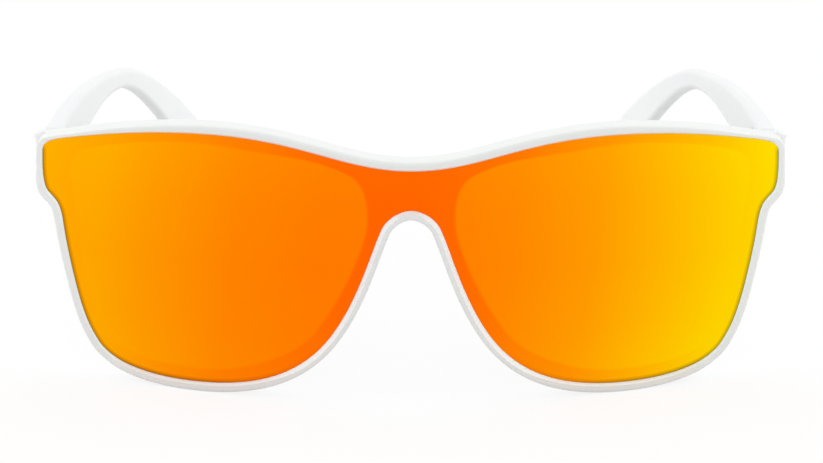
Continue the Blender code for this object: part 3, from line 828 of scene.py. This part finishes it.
def mirror_colour(finish):
    """Amber, deep orange and yellow across the lens, painted shade over the ledge and at the outer edge."""
    lean = finish.node("ShaderNodeVectorMath", operation="DOT_PRODUCT")
    lean.inputs[1].default_value = (1.0, 0.0, -MIRROR_LEAN)
    finish.link(finish.place, lean.inputs[0])
    split = finish.node("ShaderNodeSeparateXYZ")
    finish.link(finish.place, split.inputs["Vector"])
    ends = LENS_EDGE[1][1] * LENS_HEIGHT + FLOOR_DROP, FLOOR_DROP - LENS_FOOT * LENS_HEIGHT
    offset = MIRROR_LEAN * sum(ends) / 2
    sides = (-LENS_SIDE - offset, LENS_SIDE - offset)
    across = finish.spread(lean.outputs["Value"], 0.0, 1.0, at=sides)
    stops = [(0.5 + place / LENS_WIDTH, [linear(shade)] * 3) for place, shade in MIRROR_GREEN]
    waist = [(place, [share] * 3) for place, share in MIRROR_WAIST]
    height = finish.spread(split.outputs["Z"], 0.0, 1.0, at=ends[::-1])
    green = finish.times(finish.ramp(across, stops), finish.ramp(height, waist))
    away = finish.node("ShaderNodeMath", operation="ABSOLUTE")
    finish.link(split.outputs["X"], away.inputs[0])
    # Painted shade where the ledge behind the lens blocks the light through it
    ledge = finish.node("ShaderNodeAttribute", attribute_name="ledge").outputs["Fac"]
    ledge_shade = finish.node("ShaderNodeMapRange")
    finish.link(ledge, ledge_shade.inputs["Value"])
    tilted = finish.node("ShaderNodeMath", operation="MULTIPLY_ADD")
    tilted.inputs[1].default_value = -LEDGE_LEAN
    finish.link(split.outputs["Z"], tilted.inputs[0])
    finish.link(away.outputs["Value"], tilted.inputs[2])
    start = -LEDGE_LEAN * FLOOR_DROP
    outward = finish.spread(tilted.outputs["Value"], 0.0, 1.0, at=(start, start + LENS_SIDE))
    shares = [(place / LENS_SIDE, [share] * 3) for place, share in LEDGE_SHADE_GREEN]
    finish.link(finish.ramp(outward, shares), ledge_shade.inputs["To Max"])
    ledge_shade.inputs["To Min"].default_value = 1.0
    edge = finish.node("ShaderNodeAttribute", attribute_name="edge_shade").outputs["Fac"]
    level = finish.spread(edge, 1.0, 1.0 - SHADE_DEPTH, at=(0.0, 1.0))
    colour = finish.node("ShaderNodeCombineColor")
    finish.link(level, colour.inputs["Red"])
    finish.link(finish.times(finish.times(green, ledge_shade.outputs["Result"]), level), colour.inputs["Green"])
    return colour.outputs["Color"]


def lens_front_finish():
    """Mirror coating with a faint haze."""
    finish = Finish("mirror_coating")
    haze = finish.noise(scale=160, detail=4)
    finish.feed(
        Base_Color=mirror_colour(finish),
        Roughness=finish.spread(haze, low=0.10, high=0.16),
    )
    finish.set(Metallic=1.0, Specular_Tint=GLANCING_TINT)
    return finish.material


def lens_edge_finish():
    """Bevel and edge of the lens, in the coating's colour but matt."""
    finish = Finish("lens_cut_edge")
    grain = finish.noise(scale=1500, detail=3)
    finish.feed(
        Base_Color=mirror_colour(finish),
        Roughness=finish.spread(grain, low=0.35, high=0.55),
    )
    return finish.material


def lens_back_finish():
    """Dark brown tint of the lens as seen from behind."""
    finish = Finish("lens_tinted_back")
    haze = finish.noise(scale=45, detail=2)
    finish.feed(
        Base_Color=finish.drift(haze, BACK_SHADES),
        Roughness=finish.spread(haze, low=0.07, high=0.09),
    )
    finish.set(IOR=1.58)
    return finish.material


def steel_finish():
    """Bare steel of the hinges and screws, with turning marks."""
    finish = Finish("turned_steel")
    brush = finish.noise(scale=900, detail=3, stretch=(1.0, 1.0, 9.0))
    finish.feed(
        Base_Color=finish.drift(brush, STEEL_SHADES),
        Roughness=finish.spread(brush, low=0.22, high=0.36),
    )
    finish.bump(brush, strength=0.05, distance=0.00001)
    finish.set(Metallic=1.0)
    return finish.material


def show_rays(tree):
    """One where a ray comes from the camera, a gloss or a clear body, and zero for light itself."""
    path = tree.nodes.new("ShaderNodeLightPath")
    total = path.outputs["Is Camera Ray"]
    for name in ("Is Glossy Ray", "Is Transmission Ray"):
        join = tree.nodes.new("ShaderNodeMath")
        join.operation = "MAXIMUM"
        tree.links.new(total, join.inputs[0])
        tree.links.new(path.outputs[name], join.inputs[1])
        total = join.outputs["Value"]
    return total


def build_floor():
    """Pale floor that looks white and keeps the shadow of the glasses."""
    mesh = bpy.data.meshes.new("floor")
    spots = ((-1, -1), (1, -1), (1, 1), (-1, 1))
    corners = [(FLOOR_REACH * x, FLOOR_REACH * y, FLOOR_LEVEL) for x, y in spots]
    mesh.from_pydata(corners, [], [(0, 1, 2, 3)])
    floor = bpy.data.objects.new("floor", mesh)
    bpy.context.scene.collection.objects.link(floor)
    material = bpy.data.materials.new("pale_floor")
    material.use_nodes = True
    tree = material.node_tree
    tree.nodes.clear()
    out = tree.nodes.new("ShaderNodeOutputMaterial")
    matt = tree.nodes.new("ShaderNodeBsdfDiffuse")
    matt.inputs["Color"].default_value = (FLOOR_BOUNCE, FLOOR_BOUNCE, FLOOR_BOUNCE, 1.0)
    faint = tree.nodes.new("ShaderNodeBsdfDiffuse")
    faint.inputs["Color"].default_value = (FLOOR_SHADOW, FLOOR_SHADOW, FLOOR_SHADOW, 1.0)
    white = tree.nodes.new("ShaderNodeEmission")
    white.inputs["Strength"].default_value = FLOOR_GLOW
    shown = tree.nodes.new("ShaderNodeAddShader")
    tree.links.new(faint.outputs[0], shown.inputs[0])
    tree.links.new(white.outputs[0], shown.inputs[1])
    mix = tree.nodes.new("ShaderNodeMixShader")
    tree.links.new(show_rays(tree), mix.inputs[0])
    tree.links.new(matt.outputs[0], mix.inputs[1])
    tree.links.new(shown.outputs[0], mix.inputs[2])
    tree.links.new(mix.outputs[0], out.inputs["Surface"])
    mesh.materials.append(material)


def build_light():
    """White surroundings at a plain level, with soft lamps in front, at both sides and above."""
    world_light = bpy.data.worlds.new("white_room")
    world_light.use_nodes = True
    tree = world_light.node_tree
    tree.nodes.clear()
    out = tree.nodes.new("ShaderNodeOutputWorld")
    dim = tree.nodes.new("ShaderNodeBackground")
    dim.inputs["Strength"].default_value = ROOM_LIGHT
    white = tree.nodes.new("ShaderNodeBackground")
    for node in (dim, white):
        node.inputs["Color"].default_value = (1.0, 1.0, 1.0, 1.0)
    mix = tree.nodes.new("ShaderNodeMixShader")
    tree.links.new(show_rays(tree), mix.inputs[0])
    tree.links.new(dim.outputs[0], mix.inputs[1])
    tree.links.new(white.outputs[0], mix.inputs[2])
    tree.links.new(mix.outputs[0], out.inputs["Surface"])
    bpy.context.scene.world = world_light
    for name, towards, spread, strength in LAMPS:
        lamp = bpy.data.lights.new(name, "SUN")
        lamp.angle = math.radians(spread)
        lamp.energy = strength
        made = bpy.data.objects.new(name, lamp)
        made.location = towards
        made.rotation_euler = Vector(towards).to_track_quat("Z", "Y").to_euler()
        bpy.context.scene.collection.objects.link(made)


def build_camera():
    """Camera at the picture's angle."""
    lens = bpy.data.cameras.new("camera")
    lens.sensor_width = SENSOR_WIDTH
    lens.lens = CAMERA_FOCAL
    camera = bpy.data.objects.new("camera", lens)
    camera.location = world(*(np.array(v) for v in CAMERA_PLACE))
    camera.rotation_euler = [math.radians(v) for v in CAMERA_TURN]
    bpy.context.scene.collection.objects.link(camera)
    bpy.context.scene.camera = camera


def dress(piece, body, node, finishes):
    """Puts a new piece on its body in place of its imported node."""
    for place, finish in enumerate(finishes):
        piece.data.materials[place] = finish
    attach(piece, body)
    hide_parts(node)


def finish_hinges(nodes):
    """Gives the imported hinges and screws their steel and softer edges."""
    steel = steel_finish()
    for name, node in nodes.items():
        if "hinge" in name:
            node.data.materials.clear()
            node.data.materials.append(steel)
            edge = node.modifiers.new("soft edge", "BEVEL")
            edge.width = HINGE_SOFT_EDGE
            edge.segments = 2
            edge.limit_method = "ANGLE"


def main():
    """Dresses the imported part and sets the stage, light and camera."""
    for old in list(bpy.data.objects):
        bpy.data.objects.remove(old, do_unlink=True)
    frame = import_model()
    front_plastic = plastic_finish("white_front", FRONT_SHADES)
    # The bevel's finish is painted lighter and cooler, a painted highlight
    highlit_bevel_plastic = plastic_finish("painted_highlight_bevel", BEVEL_HIGHLIGHT_SHADES)
    dress(build_front(), "front", "front_frame", [front_plastic, highlit_bevel_plastic])
    coats = [lens_front_finish(), lens_edge_finish(), lens_back_finish()]
    dress(build_lens(), "front", "shield_lens", coats)
    arm_plastic = plastic_finish("white_arms", ARM_SHADES)
    for side in (1, -1):
        name = hand(side)
        dress(build_arm(side), "arm_" + name, "temple_" + name, [arm_plastic])
    finish_hinges(frame["nodes"])
    build_floor()
    build_light()
    build_camera()
    bpy.context.scene.view_settings.view_transform = "Standard"


main()
